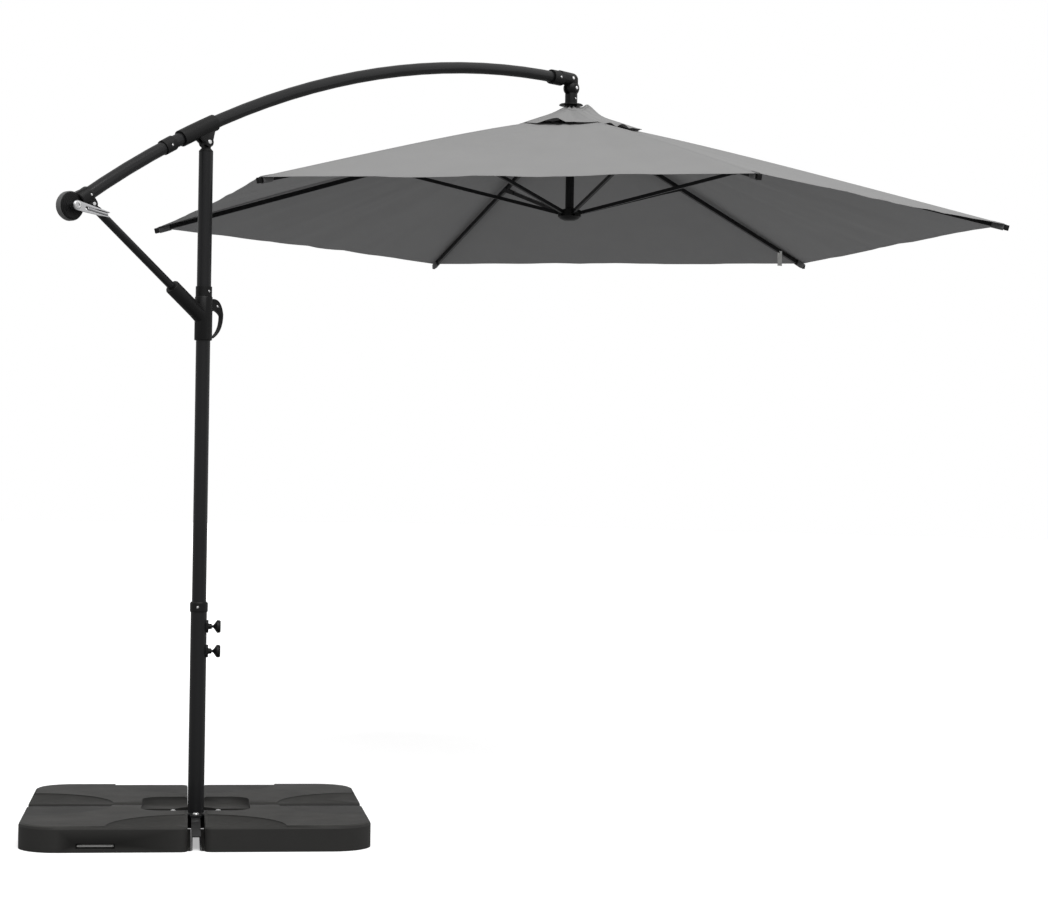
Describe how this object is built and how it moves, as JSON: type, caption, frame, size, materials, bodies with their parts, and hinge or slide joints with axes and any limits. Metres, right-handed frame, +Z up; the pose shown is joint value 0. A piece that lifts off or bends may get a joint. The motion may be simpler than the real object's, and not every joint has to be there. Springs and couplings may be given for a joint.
{
  "type": "cantilever parasol",
  "caption": "Free-standing cantilever parasol: weighted cross base, mast, curved sliding boom with crank, and a hanging hexagonal canopy that folds down.",
  "frame": {"origin": "on the mast's axis at the floor, on the underside of the cross base's centre", "axes": "+Z up along the mast, +X from the mast towards the canopy, +Y to the left of that"},
  "size_m": [3.7938, 2.6662, 2.4761],
  "materials": {
    "base_plastic": "grained, moulded",
    "ballast": "cast, rough",
    "rivet_steel": "satin",
    "powder_coat": "semi-gloss powder coat",
    "black_plastic": "satin moulded",
    "nylon": "smooth",
    "chrome": "polished",
    "canopy_cloth": "woven polyester",
    "cord": "braided"
  },
  "bodies": {
    "base": {"base_plate_1": "base_plastic", "base_plate_2": "base_plastic", "base_plate_3": "base_plastic", "base_plate_4": "base_plastic", "ballast_1": "ballast", "ballast_2": "ballast", "ballast_3": "ballast", "ballast_4": "ballast", "foot_bolt_1": "rivet_steel", "foot_bolt_2": "rivet_steel", "foot_bolt_3": "rivet_steel", "foot_bolt_4": "rivet_steel", "cross_bar_lower": "powder_coat", "cross_bar_upper": "powder_coat", "lower_mast": "powder_coat", "joint_collar": "black_plastic", "knob_saddle_upper": "black_plastic", "knob_saddle_lower": "black_plastic"},
    "knob_upper": {"clamp_knob_upper": "black_plastic"},
    "knob_lower": {"clamp_knob_lower": "black_plastic"},
    "mast": {"upper_mast": "powder_coat", "mast_top_fitting": "black_plastic", "mast_stop_ring": "black_plastic"},
    "sleeve": {"pivot_sleeve": "black_plastic", "sleeve_pin": "rivet_steel"},
    "boom": {"boom_tube": "powder_coat", "boom_stop_collar": "black_plastic", "lifting_cord": "cord", "crank_housing_near": "black_plastic", "crank_housing_far": "black_plastic", "strut_rivet": "rivet_steel", "boom_elbow": "black_plastic", "pulley_axle": "rivet_steel", "knuckle_pin": "rivet_steel"},
    "reel": {"cord_reel": "nylon", "crank_arm": "chrome"},
    "grip": {"crank_grip": "chrome"},
    "pulley": {"cord_pulley": "nylon"},
    "slider": {"slider_body": "black_plastic", "strut": "powder_coat"},
    "lever": {"release_lever": "black_plastic"},
    "hanger": {"hanger_socket": "black_plastic", "crown": "black_plastic", "canopy_fabric": "canopy_cloth", "vent_cap": "canopy_cloth"},
    "runner": {"runner": "black_plastic", "runner_tube": "powder_coat"},
    "cord_end": {"cord_stopper": "nylon"},
    "rib_1": {"rib_1": "powder_coat"},
    "stretcher_1": {"stretcher_1": "powder_coat"},
    "rib_2": {"rib_2": "powder_coat"},
    "stretcher_2": {"stretcher_2": "powder_coat"},
    "rib_3": {"rib_3": "powder_coat"},
    "stretcher_3": {"stretcher_3": "powder_coat"},
    "rib_4": {"rib_4": "powder_coat"},
    "stretcher_4": {"stretcher_4": "powder_coat"},
    "rib_5": {"rib_5": "powder_coat"},
    "stretcher_5": {"stretcher_5": "powder_coat"},
    "rib_6": {"rib_6": "powder_coat"},
    "stretcher_6": {"stretcher_6": "powder_coat"}
  },
  "joints": [
    {"name": "mast_swivel", "type": "hinge", "parent": "base", "child": "mast", "pos_m": [0, 0, 0.66], "axis": [0, 0, 1], "continuous": true},
    {"name": "knob_turn_upper", "type": "hinge", "parent": "base", "child": "knob_upper", "pos_m": [0, 0, 0.597], "axis": [0.766, -0.6428, 0], "range_deg": [0, 360]},
    {"name": "knob_turn_lower", "type": "hinge", "parent": "base", "child": "knob_lower", "pos_m": [0, 0, 0.524], "axis": [0.766, -0.6428, 0], "range_deg": [0, 360]},
    {"name": "slider_slide", "type": "slide", "parent": "mast", "child": "slider", "axis": [0, 0, -1], "range_m": [0, 0.77], "deforming": ["canopy_fabric", "vent_cap"]},
    {"name": "lever_pull", "type": "hinge", "parent": "slider", "child": "lever", "pos_m": [0.042, 0, 1.548], "axis": [0, -1, 0], "range_deg": [0, 12], "stiffness_Nm_per_rad": 4, "springref_deg": -2.86},
    {"name": "sleeve_tilt", "type": "hinge", "parent": "mast", "child": "sleeve", "pos_m": [0, 0, 2.032], "axis": [0, -1, 0], "range_deg": [0, 33.06]},
    {"name": "boom_slide", "type": "hinge", "parent": "sleeve", "child": "boom", "pos_m": [1.602, 0, -1.21646], "axis": [0, -1, 0], "range_deg": [0, 9.6]},
    {"name": "hanger_swing", "type": "hinge", "parent": "boom", "child": "hanger", "pos_m": [1.64867, 0, 2.42224], "axis": [0, 1, 0], "range_deg": [0, 42.66]},
    {"name": "reel_spin", "type": "hinge", "parent": "boom", "child": "reel", "pos_m": [-0.49455, 0, 1.79261], "axis": [0, 1, 0], "range_deg": [0, 4320]},
    {"name": "grip_fold", "type": "hinge", "parent": "reel", "child": "grip", "pos_m": [-0.38562, -0.031, 1.7773], "axis": [0.1392, 0, 0.9903], "range_deg": [0, 90]},
    {"name": "pulley_spin", "type": "hinge", "parent": "boom", "child": "pulley", "pos_m": [1.63478, 0, 2.45442], "axis": [0, 1, 0], "range_deg": [0, 3960]},
    {"name": "rib_fold_1", "type": "hinge", "parent": "hanger", "child": "rib_1", "pos_m": [1.67265, 0.00101, 2.30524], "axis": [-0.0419, 0.9991, 0], "range_deg": [0, 70.75]},
    {"name": "stretcher_fold_1", "type": "hinge", "parent": "rib_1", "child": "stretcher_1", "pos_m": [2.3021, 0.02739, 2.14524], "axis": [0.0419, -0.9991, 0], "range_deg": [0, 141.5]},
    {"name": "rib_fold_2", "type": "hinge", "parent": "hanger", "child": "rib_2", "pos_m": [1.65979, 0.02127, 2.30524], "axis": [-0.8862, 0.4633, 0], "range_deg": [0, 70.75]},
    {"name": "stretcher_fold_2", "type": "hinge", "parent": "rib_2", "child": "stretcher_2", "pos_m": [1.95167, 0.57958, 2.14524], "axis": [0.8862, -0.4633, 0], "range_deg": [0, 141.5]},
    {"name": "rib_fold_3", "type": "hinge", "parent": "hanger", "child": "rib_3", "pos_m": [1.63581, 0.02026, 2.30524], "axis": [-0.8443, -0.5358, 0], "range_deg": [0, 70.75]},
    {"name": "stretcher_fold_3", "type": "hinge", "parent": "rib_3", "child": "stretcher_3", "pos_m": [1.29824, 0.55219, 2.14524], "axis": [0.8443, 0.5358, 0], "range_deg": [0, 141.5]},
    {"name": "rib_fold_4", "type": "hinge", "parent": "hanger", "child": "rib_4", "pos_m": [1.62469, -0.00101, 2.30524], "axis": [0.0419, -0.9991, 0], "range_deg": [0, 70.75]},
    {"name": "stretcher_fold_4", "type": "hinge", "parent": "rib_4", "child": "stretcher_4", "pos_m": [0.99524, -0.02739, 2.14524], "axis": [-0.0419, 0.9991, 0], "range_deg": [0, 141.5]},
    {"name": "rib_fold_5", "type": "hinge", "parent": "hanger", "child": "rib_5", "pos_m": [1.63755, -0.02127, 2.30524], "axis": [0.8862, -0.4633, 0], "range_deg": [0, 70.75]},
    {"name": "stretcher_fold_5", "type": "hinge", "parent": "rib_5", "child": "stretcher_5", "pos_m": [1.34567, -0.57958, 2.14524], "axis": [-0.8862, 0.4633, 0], "range_deg": [0, 141.5]},
    {"name": "rib_fold_6", "type": "hinge", "parent": "hanger", "child": "rib_6", "pos_m": [1.66153, -0.02026, 2.30524], "axis": [0.8443, 0.5358, 0], "range_deg": [0, 70.75]},
    {"name": "stretcher_fold_6", "type": "hinge", "parent": "rib_6", "child": "stretcher_6", "pos_m": [1.9991, -0.55219, 2.14524], "axis": [-0.8443, -0.5358, 0], "range_deg": [0, 141.5]},
    {"name": "runner_level", "type": "hinge", "parent": "stretcher_1", "child": "runner", "pos_m": [1.67265, 0.00101, 1.98524], "axis": [-0.0419, 0.9991, 0], "range_deg": [0, 70.75]},
    {"name": "cord_drop", "type": "slide", "parent": "hanger", "child": "cord_end", "axis": [0, 0, -1], "range_m": [0, 0.97505]}
  ],
  "couplings": [
    {"joint": "sleeve_tilt", "follows": "slider_slide", "rad_per_m": 0.74941},
    {"joint": "boom_slide", "follows": "slider_slide", "rad_per_m": 0.21759},
    {"joint": "hanger_swing", "follows": "slider_slide", "rad_per_m": 0.967},
    {"joint": "reel_spin", "follows": "slider_slide", "rad_per_m": 97.919},
    {"joint": "pulley_spin", "follows": "slider_slide", "rad_per_m": 89.759},
    {"joint": "rib_fold_1", "follows": "slider_slide", "rad_per_m": 1.6036},
    {"joint": "stretcher_fold_1", "follows": "slider_slide", "rad_per_m": 3.2073},
    {"joint": "rib_fold_2", "follows": "slider_slide", "rad_per_m": 1.6036},
    {"joint": "stretcher_fold_2", "follows": "slider_slide", "rad_per_m": 3.2073},
    {"joint": "rib_fold_3", "follows": "slider_slide", "rad_per_m": 1.6036},
    {"joint": "stretcher_fold_3", "follows": "slider_slide", "rad_per_m": 3.2073},
    {"joint": "rib_fold_4", "follows": "slider_slide", "rad_per_m": 1.6036},
    {"joint": "stretcher_fold_4", "follows": "slider_slide", "rad_per_m": 3.2073},
    {"joint": "rib_fold_5", "follows": "slider_slide", "rad_per_m": 1.6036},
    {"joint": "stretcher_fold_5", "follows": "slider_slide", "rad_per_m": 3.2073},
    {"joint": "rib_fold_6", "follows": "slider_slide", "rad_per_m": 1.6036},
    {"joint": "stretcher_fold_6", "follows": "slider_slide", "rad_per_m": 3.2073},
    {"joint": "runner_level", "follows": "slider_slide", "rad_per_m": 1.6036},
    {"joint": "cord_drop", "follows": "slider_slide", "ratio": 1.2663}
  ]
}
